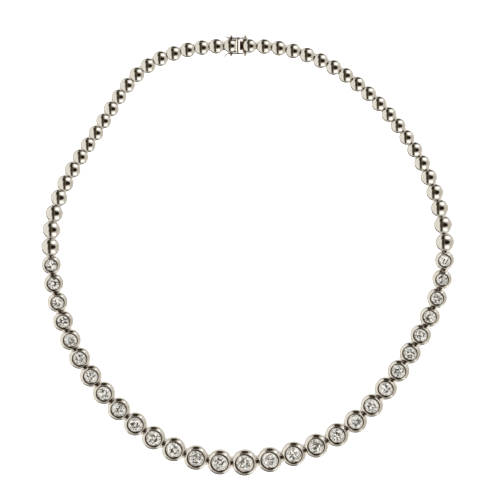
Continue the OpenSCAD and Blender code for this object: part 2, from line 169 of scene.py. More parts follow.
def length(i):
    if is_clasp(i):
        return diameter(i)
    return diameter(i) - 2 * (SETTING_FLAT if is_setting(i) else PLAIN_FLAT)


def hinge_x(i):
    return (length(i) + gap(i)) / 2


def span(i):
    return (CLASP_PITCH if i == 0 else 0) + 2 * hinge_x(i)


ENDS = [span(0) / 2]
for i in range(1, LINKS + 1):
    ENDS.append(ENDS[-1] + span(i))
LOOP = ENDS[-1] + span(0) / 2
SCALE = LOOP / TRAVEL[-1]


def along(s):
    t = ((s + CLASP_AT) % LOOP) / SCALE
    return SCALE * np.array([np.interp(t, TRAVEL, SAMPLES[:, 0]), np.interp(t, TRAVEL, SAMPLES[:, 1])])


HINGES = [along(s) for s in ENDS]


def raw_middle(i):
    return (HINGES[before(i)] + HINGES[i]) / 2


def heading(i):
    d = HINGES[i] - HINGES[before(i)]
    return math.atan2(d[1], d[0])


def lean(i):
    if not is_setting(i):
        return 0.0
    most = LEAN_LEFT if i < CENTRE_LINK else LEAN_RIGHT
    return most * math.sin(math.pi * from_centre(i) / (SIDE_SETTINGS + 1)) ** 2


def hinge_scale(i):
    return 1 + HINGE_GROWTH * ((diameter(i) + diameter((i + 1) % (LINKS + 1))) / 2 - PLAIN_D)


def scale_before(i):
    return hinge_scale(before(i))


def bore_r(k):
    return BAR_R * k + BAR_PLAY


def eye_r(k):
    return bore_r(k) + EYE_WALL * k


def hinge_z(k):
    return eye_r(k) + FLOOR_CLEAR


def link_scale(i):
    return max(scale_before(i), hinge_scale(i))


def foot_r(i):
    return hinge_x(i) - eye_r(link_scale(i)) - (SETTING_RELIEF if is_setting(i) else FOOT_RELIEF)


def foot_z(i):
    return hinge_z(link_scale(i)) + eye_r(link_scale(i)) + FOOT_CLEAR


def flare_z(i):
    return foot_z(i) + FLARE_SHARE * eye_r(link_scale(i))


def base_r(i):
    return diameter(i) / 2 - BASE_EDGE


def lift(i):
    return base_r(i) * math.sin(lean(i)) - LEAN_Z * (1 - math.cos(lean(i)))


def reach(i):
    return diameter(i) / 2 * math.cos(lean(i)) + (LEAN_Z - BASE_EDGE) * math.sin(lean(i))


def loop_middle():
    """The middle of the box round the necklace."""
    links = range(1, LINKS + 1)
    right = max(raw_middle(i)[0] + reach(i) for i in links)
    left = min(raw_middle(i)[0] - reach(i) for i in links)
    low = min(raw_middle(i)[1] - reach(i) for i in links)
    turn = heading(0) - math.pi
    high = raw_middle(0)[1] + (PEG_BALL_Y + PEG_BALL_R) * math.cos(turn) + HOOK_PEG_X * abs(math.sin(turn))
    return np.array([(right + left) / 2, (high + low) / 2])


MIDDLE = loop_middle()


def place(i):
    """The matrix that puts a link's local mm into the frame's metres."""
    x, y = raw_middle(i) - MIDDLE
    up = Matrix.Translation((0, 0, LEAN_Z))
    return (Matrix.Scale(MM, 4) @ Matrix.Translation((x, y, lift(i))) @ Matrix.Rotation(heading(i), 4, "Z")
            @ up @ Matrix.Rotation(-lean(i), 4, "X") @ up.inverted())


# ---- Materials ----
# The range of a noise texture that its colours and values are spread over
NOISE_LOW, NOISE_HIGH = 0.3, 0.7
GOLD_BASE, GOLD_ROUGH, WARMER, COOLER = (0.93, 0.905, 0.865), 0.07, (0.97, 0.965, 0.95), (1, 1.005, 1.015)
MARK_STRENGTH, MARK_DEPTH = 0.05, 0.00002
DIAMOND_IOR = 2.417


def set_values(node, values):
    for name, value in values.items():
        node.inputs[name].default_value = value


def new_material(name, values):
    m = bpy.data.materials.new(name)
    m.use_nodes = True
    nt = m.node_tree
    bsdf = nt.nodes["Principled BSDF"]
    set_values(bsdf, values)
    return m, nt, bsdf


def texture(nt, kind, values):
    """A texture that lies in the object's own coordinates."""
    node = nt.nodes.new(kind)
    set_values(node, values)
    coord = nt.nodes.new("ShaderNodeTexCoord")
    nt.links.new(coord.outputs["Object"], node.inputs["Vector"])
    return node


def colour_ramp(nt, value, stops, kind="LINEAR"):
    """Colours for a value, from stops of (position, colour)."""
    ramp = nt.nodes.new("ShaderNodeValToRGB")
    ramp.color_ramp.interpolation = kind
    elements = ramp.color_ramp.elements
    for element, (at, colour) in zip(elements, stops):
        element.position, element.color = at, (*colour, 1)
    for at, colour in stops[2:]:
        elements.new(at).color = (*colour, 1)
    nt.links.new(value, ramp.inputs["Fac"])
    return ramp.outputs["Color"]


def white_gold(name, base=GOLD_BASE, roughness=GOLD_ROUGH, metallic=1.0):
    """Polished white gold: a faint warm and cool drift, and fine polishing marks in the gloss and the surface."""
    m, nt, bsdf = new_material(name, {"Metallic": metallic})
    drift = texture(nt, "ShaderNodeTexNoise", {"Scale": 260.0, "Detail": 2.0})
    warm, cool = ([part * share for part, share in zip(base, shares)] for shares in (WARMER, COOLER))
    colour = colour_ramp(nt, drift.outputs["Fac"], ((NOISE_LOW, warm), (NOISE_HIGH, cool)))
    nt.links.new(colour, bsdf.inputs["Base Color"])
    marks = texture(nt, "ShaderNodeTexNoise", {"Scale": 2600.0, "Detail": 3.0})
    gloss = nt.nodes.new("ShaderNodeMapRange")
    set_values(gloss, {"From Min": NOISE_LOW, "From Max": NOISE_HIGH,
                       "To Min": roughness * 0.7, "To Max": roughness * 1.4})
    nt.links.new(marks.outputs["Fac"], gloss.inputs["Value"])
    nt.links.new(gloss.outputs["Result"], bsdf.inputs["Roughness"])
    bump = nt.nodes.new("ShaderNodeBump")
    set_values(bump, {"Strength": MARK_STRENGTH, "Distance": MARK_DEPTH})
    nt.links.new(marks.outputs["Fac"], bump.inputs["Height"])
    nt.links.new(bump.outputs["Normal"], bsdf.inputs["Normal"])
    return m


def painted_shade_metal(name, darkest, lightest):
    """Painted shade and reflection on metal, in the wells and the hinges: brown, with streaks of a lighter brown."""
    m, nt, bsdf = new_material(name, {"Metallic": 1.0, "Roughness": 0.3})
    patches = texture(nt, "ShaderNodeTexNoise", {"Scale": 900.0, "Detail": 3.0})
    colour = colour_ramp(nt, patches.outputs["Fac"], ((NOISE_LOW, darkest), (0.75, lightest)))
    nt.links.new(colour, bsdf.inputs["Base Color"])
    return m


def diamond(name, clear, tints):
    """Cut diamond: partly clear, and its colour broken up into cells of the given tints, painted reflections where the
    tints are dark and bright.
    """
    m, nt, bsdf = new_material(name, {"Transmission Weight": clear, "IOR": DIAMOND_IOR, "Roughness": 0.0})
    cells = texture(nt, "ShaderNodeTexVoronoi", {"Scale": 2300.0})
    one = nt.nodes.new("ShaderNodeSeparateColor")
    nt.links.new(cells.outputs["Color"], one.inputs[0])
    nt.links.new(colour_ramp(nt, one.outputs[0], tints, "CONSTANT"), bsdf.inputs["Base Color"])
    return m


GOLD = white_gold("polished_white_gold")
# A satin finish, pale from every side: on the end plates, the decks and the bars' heads
SATIN = white_gold("satin_white_gold", (0.8, 0.755, 0.68), 0.35, 0.45)
# Painted shade: dark and brown copies of the metal, put where shade and dark reflections fall
PAINTED_SHADE = painted_shade_metal("painted_shade_dark", (0.02, 0.012, 0.008), (0.13, 0.09, 0.06))
PAINTED_BROWN_SHADE = painted_shade_metal("painted_shade_brown", (0.05, 0.025, 0.012), (0.3, 0.17, 0.1))
# The numbers of these in a piece's faces are 0, DARK, PALE and BROWN; DARK and BROWN are painted shade
METALS = (GOLD, PAINTED_SHADE, SATIN, PAINTED_BROWN_SHADE)
DARK, PALE, BROWN = 1, 2, 3

CLEAR = diamond("cut_diamond", 1.0, ((0, (1.0, 0.985, 0.95)), (0.5, (0.97, 0.985, 1.0))))
# Painted reflections: the edge and middle cuts carry dark, grey and white cells painted into their colour
EDGE_PAINTED_REFLECTIONS = diamond("cut_diamond_edge_painted_reflections", 0.55, (
    (0, (0.2, 0.19, 0.16)), (0.2, (0.55, 0.53, 0.48)), (0.4, (0.96, 0.935, 0.88)), (0.88, (0.72, 0.75, 0.8))))
MIDDLE_PAINTED_REFLECTIONS = diamond("cut_diamond_middle_painted_reflections", 0.5, (
    (0, (0.04, 0.037, 0.028)), (0.29, (0.19, 0.18, 0.15)), (0.5, (0.4, 0.395, 0.36)), (0.66, (0.96, 0.94, 0.89)),
    (0.9, (0.46, 0.5, 0.56))))
# The numbers of these in a stone's faces
CUTS = (CLEAR, EDGE_PAINTED_REFLECTIONS, MIDDLE_PAINTED_REFLECTIONS)
IN_CLEAR, IN_EDGE_PAINTED, IN_MIDDLE_PAINTED = 0, 1, 2


# ---- Mesh helpers: a shape is (points, faces) in mm, and may have the numbers of its faces' materials too ----
# The most of a side that a rounded corner takes, a radius that counts as none, and how close (in metres) points are one
MOST_CUT, ON_AXIS, WELD = 0.45, 1e-6, 1e-9
# A rounded edge and the round end of a wire: shares of its size, inward or outward and along
BEVEL = ((1, 0), (0.3, 0.3), (0, 1))
WIRE_END = ((1e-4, 1.0), (0.6, 0.8), (0.92, 0.4))


def soften(points, cut, steps, closed=True):
    """Rounds the corners of an outline. cut is one length, or one for each corner."""
    n = len(points)
    pts = [np.array(p, float) for p in points]
    cuts = [cut] * n if isinstance(cut, (int, float)) else cut
    out = []
    for k, p in enumerate(pts):
        if cuts[k] <= 0 or (not closed and k in (0, n - 1)):
            out.append(p)
            continue
        a, b = pts[k - 1] - p, pts[(k + 1) % n] - p
        la, lb = np.linalg.norm(a), np.linalg.norm(b)
        c = min(cuts[k], MOST_CUT * la, MOST_CUT * lb)
        s, e = p + a / la * c, p + b / lb * c
        for t in np.linspace(0, 1, steps + 1):
            out.append((1 - t) ** 2 * s + 2 * t * (1 - t) * p + t * t * e)
    return out


def band(a, b):
    """The faces between two rings of points."""
    n = len(a)
    return [[a[k], a[(k + 1) % n], b[(k + 1) % n], b[k]] for k in range(n)]


def lathe(profile, n, closed=True):
    """Turns a profile of (radius, height) about Z. An open profile starts and ends on the axis."""
    verts, rings = [], []
    for r, z in profile:
        if r < ON_AXIS:
            rings.append([len(verts)] * n)
            verts.append((0, 0, z))
        else:
            rings.append(list(range(len(verts), len(verts) + n)))
            verts += [(r * math.cos(2 * math.pi * k / n), r * math.sin(2 * math.pi * k / n), z) for k in range(n)]
    faces = []
    last = len(rings) if closed else len(rings) - 1
    for j in range(last):
        for quad in band(rings[j], rings[(j + 1) % len(rings)]):
            face = [v for t, v in enumerate(quad) if v not in quad[:t]]
            if len(face) > 2:
                faces.append(face)
    return verts, faces


def turned_y(shape, x, z, y=0.0):
    """A lathed shape with its axis along Y, moved to (x, y, z)."""
    verts, faces = shape
    return [(vx + x, vz + y, vy + z) for vx, vy, vz in verts], [f[::-1] for f in faces]


def rod_y(x, z, r, y0, y1, n):
    profile = soften([(0, y0), (r, y0), (r, y1), (0, y1)], ROD_EDGE, 2, closed=False)
    return turned_y(lathe(profile, n, closed=False), x, z)


def ball(x, y, z, r, n):
    profile = [(r * math.cos(a), r * math.sin(a)) for a in np.linspace(-math.pi / 2, math.pi / 2, n // 2 + 1)]
    profile[0], profile[-1] = (0, -r), (0, r)
    return turned_y(lathe(profile, n, closed=False), x, z, y)


def ring_y(x, z, r_in, r_out, y0, y1, n, edge):
    return turned_y(lathe(soften([(r_in, y0), (r_out, y0), (r_out, y1), (r_in, y1)], edge, 2), n), x, z)


def prism(outline, lo, hi, axis, edge):
    """An outline pushed along an axis, with a softened edge. The outline's pairs are the other two axes in order."""
    n = len(outline)
    pts = np.array(outline, float)
    prev, nxt = np.roll(pts, 1, 0), np.roll(pts, -1, 0)
    d = nxt - prev
    inward = np.stack([-d[:, 1], d[:, 0]], 1) / np.linalg.norm(d, axis=1)[:, None]
    area = 0.5 * np.sum(pts[:, 0] * nxt[:, 1] - nxt[:, 0] * pts[:, 1])
    inward *= 1 if area > 0 else -1
    layers = [(pts + inward * edge * a, lo + edge * b) for a, b in BEVEL]
    layers += [(pts + inward * edge * a, hi - edge * b) for a, b in BEVEL[::-1]]
    verts, faces = [], []
    for flat, h in layers:
        for p in flat:
            q = [p[0], p[1]]
            q.insert("xyz".index(axis), h)
            verts.append(tuple(q))
    rings = [list(range(j * n, (j + 1) * n)) for j in range(len(layers))]
    for a, b in zip(rings, rings[1:]):
        faces += band(a, b)
    return verts, faces + [rings[0][::-1], rings[-1]]


def block(x0, x1, y0, y1, z0, z1, edge=0.05, round_r=0.06):
    """A box with rounded upright corners and softened edges."""
    return prism(soften([(x0, y0), (x1, y0), (x1, y1), (x0, y1)], round_r, 3), z0, z1, "z", edge)


def tube(path, r):
    """A round wire along a path, with domed ends."""
    pts = [Vector(p) for p in path]
    verts, faces, rings = [], [], []
    up = Vector((0, 1, 0))
    nearly_along = 0.2
    for k, p in enumerate(pts):
        t = (pts[min(k + 1, len(pts) - 1)] - pts[max(k - 1, 0)]).normalized()
        side = up.cross(t)
        if side.length < nearly_along:
            side = Vector((0, 0, 1)).cross(t)
        side.normalize()
        over = t.cross(side)
        grow = [(w, -push) for w, push in WIRE_END] if k == 0 else []
        grow += [(1.0, 0.0)]
        grow += WIRE_END[::-1] if k == len(pts) - 1 else []
        for w, push in grow:
            rings.append([len(verts) + m for m in range(WIRE_SIDES)])
            for m in range(WIRE_SIDES):
                a = 2 * math.pi * m / WIRE_SIDES
                v = p + t * push * r + (side * math.cos(a) + over * math.sin(a)) * r * w
                verts.append(tuple(v))
    for a, b in zip(rings, rings[1:]):
        faces += band(a, b)
    return verts, faces + [rings[0][::-1], rings[-1]]


def flat_ends(shape, end):
    """The same shape with everything beyond x = end, at both ends, pressed flat."""
    return [(max(-end, min(end, x)), y, z) for x, y, z in shape[0]], *shape[1:]


def moved(shape, x):
    return [(a + x, b, c) for a, b, c in shape[0]], *shape[1:]


def in_material(number, shape):
    return *shape[:2], [number] * len(shape[1])


def dark(shape):
    return in_material(DARK, shape)


def pale(shape):
    return in_material(PALE, shape)


def brown(shape):
    return in_material(BROWN, shape)


def build(name, parts, body, replaced, materials=METALS, sharp=38):
    """One object from a list of (matrix, shape). Edges of more than sharp degrees stay sharp, or all of them at 0."""
    bm = bmesh.new()
    for matrix, shape in parts:
        verts, faces = shape[:2]
        tints = shape[2] if len(shape) > 2 else [0] * len(faces)
        new = [bm.verts.new(matrix @ Vector(v)) for v in verts]
        for f, tint in zip(faces, tints):
            bm.faces.new([new[k] for k in f]).material_index = tint
    bmesh.ops.remove_doubles(bm, verts=bm.verts, dist=WELD)
    bmesh.ops.recalc_face_normals(bm, faces=bm.faces)
    mesh = bpy.data.meshes.new(name)
    bm.to_mesh(mesh)
    bm.free()
    for p in mesh.polygons:
        p.use_smooth = sharp > 0
    if sharp > 0:
        mesh.set_sharp_from_angle(angle=math.radians(sharp))
    obj = bpy.data.objects.new(name, mesh)
    bpy.context.scene.collection.objects.link(obj)
    for material in materials:
        mesh.materials.append(material)
    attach(obj, body)
    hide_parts(*replaced)


# ---- Links ----
def fork_root(foot, half_w):
    return math.sqrt(foot * foot - half_w * half_w) - ARM_SINK


def fork(x, k, root_x, half_w):
    """Two lugs with a cross bar, and the round heads of the bar."""
    y_in, bar_y = EYE_HALF_W * k + SIDE_PLAY, half_w - 0.05
    z = hinge_z(k)
    r = LUG_R * k
    # Painted shade: the bar between the lugs is in the dark shade metal
    shapes = [dark(rod_y(x, z, BAR_R * k, -bar_y, bar_y, BAR_SIDES))]
    arc_points = 13
    arc = [(x + r * math.sin(a), z + r * math.cos(a)) for a in np.linspace(0, math.pi, arc_points)]
    outline = [(root_x, z + r)] + arc + [(root_x, z - r)]
    for side in (-1, 1):
        lo, hi = sorted((side * y_in, side * half_w))
        lug = prism(outline, lo, hi, "y", LUG_EDGE)
        shapes.append(lug if side > 0 else pale(lug))
        shapes.append(pale(ball(x, side * half_w, z, BAR_HEAD_R * k - SHY, BAR_SIDES)))
    return shapes


def eye(x, k, foot):
    """A ring round the next link's bar, on an arm."""
    z = hinge_z(k)
    half_w = EYE_HALF_W * k
    arm_h = ARM_H * eye_r(k) / 2
    in_wall = 0.4
    start = -x + bore_r(k) + EYE_WALL * k * in_wall
    end = -foot + ARM_SINK
    outline = soften([(start, z - arm_h), (end, z - arm_h), (end, z + arm_h), (start, z + arm_h)], 0.04, 2)
    arm = prism(outline, -half_w + ARM_STEP, half_w - ARM_STEP, "y", ARM_EDGE)
    # Painted shade: the ring round the bar is in the brown shade metal
    return [brown(ring_y(-x, z, bore_r(k), eye_r(k), -half_w, half_w, EYE_SIDES, RING_EDGE)), arm]


def hinge_ends(i):
    x = hinge_x(i)
    k = hinge_scale(i)
    half_w = (EYE_HALF_W + LUG_W) * k + SIDE_PLAY
    root_x = foot_r(i) - ARM_SINK if is_setting(i) else fork_root(foot_r(i), half_w)
    return fork(x, k, root_x, half_w) + eye(x, scale_before(i), foot_r(i))


def dome_arc(r, flare):
    """The profile of a link's dome, from just above the flare up to the axis."""
    z, h, step = flare + RIM_EDGE, DOME_SHARE * r, 5
    angles = [math.radians(a) for a in range(step, 90, step)]
    return [(r * math.cos(a), z + h * math.sin(a)) for a in angles] + [(0.0, z + h)]


def dome(d, foot, hollow, foot_top, flare):
    """A domed link's body: hollow under the foot, a waist for the hinges, a flare and an oval dome."""
    r = d / 2 - SHY
    lower = hollow + [(foot, 0), (foot, foot_top), (r - 0.04, flare), (r, flare + RIM_EDGE)]
    hollow_cut, foot_cuts = 0.15, [0.06, 0.1, 0.05, 0.0]
    cuts = [0.0] + [hollow_cut] * (len(hollow) - 1) + foot_cuts
    return lathe(soften(lower, cuts, 3, closed=False) + dome_arc(r, flare), DOME_SIDES, closed=False)


def domed_body(i):
    cup_r = CUP_SHARE * foot_r(i)
    crown_r, crown_h = 0.7 * cup_r, 0.8 * CUP_H
    hollow = [(0, CUP_H), (crown_r, crown_h), (cup_r, 0)]
    return flat_ends(dome(diameter(i), foot_r(i), hollow, foot_z(i), flare_z(i)), length(i) / 2 - SHY)


def setting_top(i):
    return SETTING_H + SETTING_RISE * (diameter(i) - END_SETTING_D)


def rim(i):
    return RIM_W + (END_RIM_W - RIM_W) * from_centre(i) / SIDE_SETTINGS


def stone_r(i):
    well = WELL_W + (END_WELL_W - WELL_W) * from_centre(i) / SIDE_SETTINGS
    return diameter(i) / 2 - rim(i) - well


def girdle_z(i):
    return setting_top(i) - WELL_DEPTH


def collet(i):
    """A round collet. Its rim is filed flat at both ends, and cut away deeper below, for the hinges."""
    r, top, sr, gz = diameter(i) / 2 - SHY, setting_top(i) - SHY, stone_r(i), girdle_z(i)
    foot, end, fz, rim_w = foot_r(i), length(i) / 2 - SHY, foot_z(i), rim(i)
    lap_z = gz + LIP + STONE_GAP
    seat_z = gz - GIRDLE_T - SEAT_W * 2 * PAVILION_SHARE - SEAT_DROP * STONE_GAP
    slope_w = rim_w - CREST_W - SHOULDER_R * (1 - math.sin(RIM_SLOPE))
    arc_z = top - slope_w * math.tan(RIM_SLOPE) - SHOULDER_R * math.cos(RIM_SLOPE)
    shoulder_points, crest_steps, crest_cuts = 8, 3, [0, 0.1, 0.1, 0.06, 0]
    shoulder = [(r - SHOULDER_R + SHOULDER_R * math.cos(a), arc_z + SHOULDER_R * math.sin(a))
                for a in np.linspace(0, math.pi / 2 - RIM_SLOPE, shoulder_points)]
    crest = [shoulder[-1], (r - rim_w + CREST_W, top), (r - rim_w, top - CREST_W), (sr - LIP, lap_z + LIP_H),
             (sr - LIP, lap_z)]
    crest = soften(crest, crest_cuts, crest_steps, closed=False)[1:]
    inside = [(sr + STONE_GAP, lap_z - GROOVE_SLOPE), (sr + STONE_GAP, gz - GIRDLE_T - GROOVE_SLOPE),
              (sr - SEAT_W, seat_z), (sr - SEAT_W, BACK_EDGE), (sr - SEAT_W + BACK_EDGE, 0)]
    # Each ring of the turned profile, and how far out its ends may reach
    rings = [(base_r(i), 0, foot - BACK_EDGE), (r, BASE_EDGE, foot), (r, fz - STEP_EDGE, foot),
             (r, fz, foot + STEP_EDGE), (r, fz, end - END_EDGE), (r, fz + END_EDGE, end)]
    # The well starts after the crest's first two rounded corners
    well_from = len(rings) + len(shoulder) + 2 * (crest_steps + 1)
    rings += [(a, b, end) for a, b in shoulder + crest + inside]
    # The outer part of the well is painted dark, as shade and reflection, and the dark reaches deeper towards one side
    # and the other
    outer, inner = np.array(rings[well_from - 1][:2]), np.array(rings[well_from][:2])
    rings.insert(well_from, (*outer, end))
    painted_shade_rings = range(well_from - 2, well_from)
    across, along_end, least_corner = 64, 12, 0.2
    verts, faces, tints = [], [], []
    for j, (radius, z, reach_x) in enumerate(rings):
        corner = math.acos(min(1, reach_x / radius)) if radius > reach_x else 0
        corner = max(corner, least_corner)
        quarter = list(np.linspace(-corner, corner, along_end, endpoint=False))
        half = list(np.linspace(corner, math.pi - corner, across, endpoint=False))
        for a in quarter + half + [b + math.pi for b in quarter + half]:
            rho, h = radius, z
            if j == well_from:
                share = DARK_SHARE + DARK_SWING * math.cos(2 * (a + heading(i) - DARK_TURN))
                rho, h = outer + share * (inner - outer)
            x = rho * math.cos(a)
            verts.append((max(-reach_x, min(reach_x, x)), rho * math.sin(a), h))
    n = 2 * (across + along_end)
    numbers = [list(range(j * n, (j + 1) * n)) for j in range(len(rings))]
    for j in range(len(rings)):
        faces += band(numbers[j], numbers[(j + 1) % len(rings)])
        tints += [DARK if j in painted_shade_rings else 0] * n
    return verts, faces, tints


def brilliant(r, lift_z):
    """A round brilliant: a table with a star inside it, kites, a sixteen-sided girdle and a pavilion. The star lies
    flat in the table and only carries painted reflections.
    """
    rt, crown, pavilion = TABLE_SHARE * r, 2 * CROWN_SHARE * r, 2 * PAVILION_SHARE * r
    half = math.pi / 8
    rj = (rt * math.cos(half) + r) / 2
    hj = crown * (r - rj * math.cos(half)) / (r - rt)
    rk = PAVILION_RING_SHARE * r
    hk = -GIRDLE_T - pavilion * (1 - rk * math.cos(half) / r)

    def ring(n, radius, z, turn):
        angles = [2 * math.pi * k / n + turn for k in range(n)]
        return [(radius * math.cos(a), radius * math.sin(a), z + lift_z) for a in angles]

    verts = (ring(8, rt, crown, 0) + ring(8, rj, hj, half) + ring(16, r, 0, 0) + ring(16, r, -GIRDLE_T, 0)
             + ring(8, rk, hk, half) + [(0, 0, -GIRDLE_T - pavilion + lift_z)] + ring(8, STAR_SHARE * rt, crown, half))
    # Where each ring starts in verts; the table's corners start at 0
    join, girdle, under, low, culet, star = 8, 16, 32, 48, 56, 57
    faces, tints = [list(range(star, star + 8))], [IN_EDGE_PAINTED]
    for k in range(8):
        e = (2 * k + 2) % 16
        m = (k + 1) % 8
        faces += [[k, star + (k + 7) % 8, star + k], [k, star + k, m]]
        faces += [[k, m, join + k], [k, join + k, girdle + 2 * k], [k, girdle + 2 * k, join + (k + 7) % 8],
                  [join + k, girdle + 2 * k + 1, girdle + 2 * k], [join + k, girdle + e, girdle + 2 * k + 1],
                  [under + 2 * k, under + 2 * k + 1, low + k], [under + 2 * k + 1, under + e, low + k],
                  [under + 2 * k, low + k, culet], [under + 2 * k, culet, low + (k + 7) % 8]]
        # Painted reflections: the table's ring and the crown's star facets in the middle's cells, the kites and upper
        # girdles in the edge's
        tints += [IN_MIDDLE_PAINTED] * 3 + [IN_EDGE_PAINTED] * 4 + [IN_CLEAR] * 4
    for k in range(16):
        faces.append([girdle + k, girdle + (k + 1) % 16, under + (k + 1) % 16, under + k])
        tints.append(IN_CLEAR)
    return verts, faces, tints


for k in range(1, SETTINGS + 1):
    i = SIDE_PLAIN + k
    at = place(i)
    shapes = [(at, shape) for shape in [collet(i)] + hinge_ends(i)]
    build(f"collet_{k:02d}", shapes, "necklace", [f"setting_{k:02d}"])

for side, numbers in (("left", range(1, SIDE_PLAIN + 1)), ("right", range(LINKS - SIDE_PLAIN + 1, LINKS + 1))):
    shapes = []
    for i in numbers:
        at = place(i)
        shapes += [(at, shape) for shape in [domed_body(i)] + hinge_ends(i)]
    build(f"plain_links_{side}", shapes, "necklace", [f"links_{side}"])


def cut_stones(name, numbers, node):
    stones = [(place(i), brilliant(stone_r(i), girdle_z(i))) for i in (SIDE_PLAIN + k for k in numbers)]
    build(name, stones, "necklace", [node], materials=CUTS, sharp=0)


for k in range(FIRST_MAIN, LAST_MAIN + 1):
    cut_stones(f"brilliant_{k:02d}", [k], f"stone_{k:02d}")
cut_stones("brilliants_left", range(1, FIRST_MAIN), "stones_left")
cut_stones("brilliants_right", range(LAST_MAIN + 1, SETTINGS + 1), "stones_right")


# ---- Clasp: along its own line, with the box towards +X ----
DOME_X = CLASP_PITCH / 2


def pegs(x):
    shapes = []
    for side in (-1, 1):
        lo, hi = sorted((side * PEG_ROOT_Y, side * PEG_BALL_Y))
        # Painted shade: the pegs' rods are in the brown shade metal
        shapes += [brown(rod_y(x, PEG_Z, PEG_R, lo, hi, PEG_SIDES)),
                   ball(x, side * PEG_BALL_Y, PEG_Z, PEG_BALL_R - SHY, PEG_SIDES)]
    return shapes


def mouth_frame():
    """The pair of end plates: a rectangle round the mouth, with a groove round the outside between them."""
    half_w = PLATE_W / 2 - SHY
    mid, half_g = (BOX_END_X + PLATE_X) / 2, PLATE_GROOVE_W / 2
    # Rounded edges of the plates, a point on their curve, the groove's edges and floor, and where the painted dark line
    # of shade ends
    e, (curve_x, curve_in), lip, floor, line_x = 0.05, (0.015, 0.02), 0.04, 0.6 * half_g, mid + 0.3
    # Each row: its place along the box, and how far it is drawn in
    rows = [(BOX_END_X, e), (BOX_END_X + curve_x, curve_in), (BOX_END_X + e, 0), (mid - half_g - lip, 0),
            (mid - half_g, lip), (mid - floor, PLATE_GROOVE_D), (mid + floor, PLATE_GROOVE_D), (mid + half_g, lip),
            (mid + half_g + lip, 0), (line_x, 0), (PLATE_X - e, 0), (PLATE_X - curve_x, curve_in), (PLATE_X, e)]
    painted_shade_rows = range(4, 9)
    per_side = 6

    def loop(y, z0, z1, cut):
        pts = soften([(-y, z0), (y, z0), (y, z1), (-y, z1)], cut, per_side - 1)
        return [(float(a), float(b)) for a, b in pts]

    verts, faces, tints = [], [], []
    for x, inset in rows:
        for y, z in loop(half_w - inset, min(inset, e), PLATE_H - SHY - inset, 0.3):
            verts.append((x, y, z))
        for y, z in loop(CAVITY_HALF_W, CAVITY_Z[0], CAVITY_Z[1], 0.2):
            verts.append((x, y, z))
    n = 4 * per_side
    for j in range(len(rows) - 1):
        a, b = 2 * n * j, 2 * n * (j + 1)
        for k in range(n):
            q = (k + 1) % n
            faces += [[a + k, a + q, b + q, b + k], [a + n + q, a + n + k, b + n + k, b + n + q]]
            # Painted shade: the groove and a line past it, and the whole inside of the mouth, are dark
            tints += [DARK if j in painted_shade_rows else PALE, DARK]
    for a, flip in ((0, False), (2 * n * (len(rows) - 1), True)):
        for k in range(n):
            q = (k + 1) % n
            face = [a + k, a + n + k, a + n + q, a + q]
            faces.append(face[::-1] if flip else face)
            tints.append(PALE)
    return verts, faces, tints


def clasp_box():
    """A domed end link whose inside is the box that takes the tongue."""
    thin, bow_points = 0.02, 8
    roof = CAVITY_Z[1] + thin
    r, flare = CLASP_DOME_D / 2 - SHY, flare_z(0)
    neck, under = (r - 0.2, roof), (r - 0.12, flare + 0.05)
    cap = soften([(0, roof), neck, under, (r, flare + RIM_EDGE)], [0, 0.05, 0.05, 0], 3, closed=False)
    w, c, deck = BOX_FOOT_HALF_W, CAVITY_HALF_W, DECK_Z - SHY
    back = math.acos((BOX_FOOT_X - DOME_X) / w)
    bow = [(DOME_X + w * math.cos(a), w * math.sin(a)) for a in np.linspace(math.pi / 2, back, bow_points)]
    wall = bow + [(x, -y) for x, y in bow[::-1]] + [(DOME_X, -c), (CAVITY_X, -c), (CAVITY_X, c), (DOME_X, c)]
    x0 = PLATE_X - LAP
    # The dome, the end plates, the wall, the three decks, and the cavity's floor and back, these two in painted shade
    shapes = [moved(lathe(cap + dome_arc(r, flare), DOME_SIDES, closed=False), DOME_X),
              mouth_frame(),
              prism(wall, 0, flare, "z", WALL_EDGE),
              pale(block(x0, DOME_X + LAP, c, w, 0, deck)),
              pale(block(x0, DOME_X + LAP, -w, -c, 0, deck)),
              pale(block(x0, DOME_X, -w, w, roof, deck)),
              dark(block(x0, CAVITY_X + LAP, -c - LAP, c + LAP, thin, CAVITY_Z[0])),
              dark(block(CAVITY_X, CAVITY_X + 2 * LAP, -c, c, LAP, roof))]
    end_fork = fork(DOME_X + hinge_x(0), hinge_scale(0), BOX_FOOT_X - ARM_SINK, CLASP_FORK_HALF_W)
    return shapes + pegs(HOOK_PEG_X) + end_fork


def clasp_tongue():
    """A domed end link, its shoulder, the folded leaf with a thumb tab, and the catches' hinge pegs."""
    top_z, w = TONGUE_Z + LEAF_T, TONGUE_HALF_W
    root_x, fold_x = -SHOULDER_X[0] - 0.3, TONGUE_NOSE_X - 0.9
    leaf = [(root_x, TONGUE_Z), (TONGUE_NOSE_X, TONGUE_Z), (TONGUE_NOSE_X, top_z),
            (TONGUE_HEEL_X, top_z + TONGUE_RISE), (TONGUE_HEEL_X, top_z + TONGUE_RISE - LEAF_T),
            (fold_x, top_z), (root_x, top_z)]
    shapes = [moved(dome(CLASP_DOME_D, foot_r(0), [(0, 0)], foot_z(0), flare_z(0)), -DOME_X),
              # Painted shade: the shoulder, the leaf and the tab are in the brown shade metal
              brown(block(-SHOULDER_X[1], -SHOULDER_X[0], -BOX_FOOT_HALF_W, BOX_FOOT_HALF_W, *SHOULDER_Z, 0.08, 0.12)),
              brown(prism(leaf, -w, w, "y", LEAF_EDGE)),
              brown(block(-TAB_X[1], -TAB_X[0], -TAB_HALF_W, TAB_HALF_W, TONGUE_Z, TAB_Z, 0.06, 0.12))]
    hook = [moved(shape, -DOME_X) for shape in eye(hinge_x(0), scale_before(0), foot_r(0))]
    return shapes + pegs(-HINGE_PEG_X) + hook


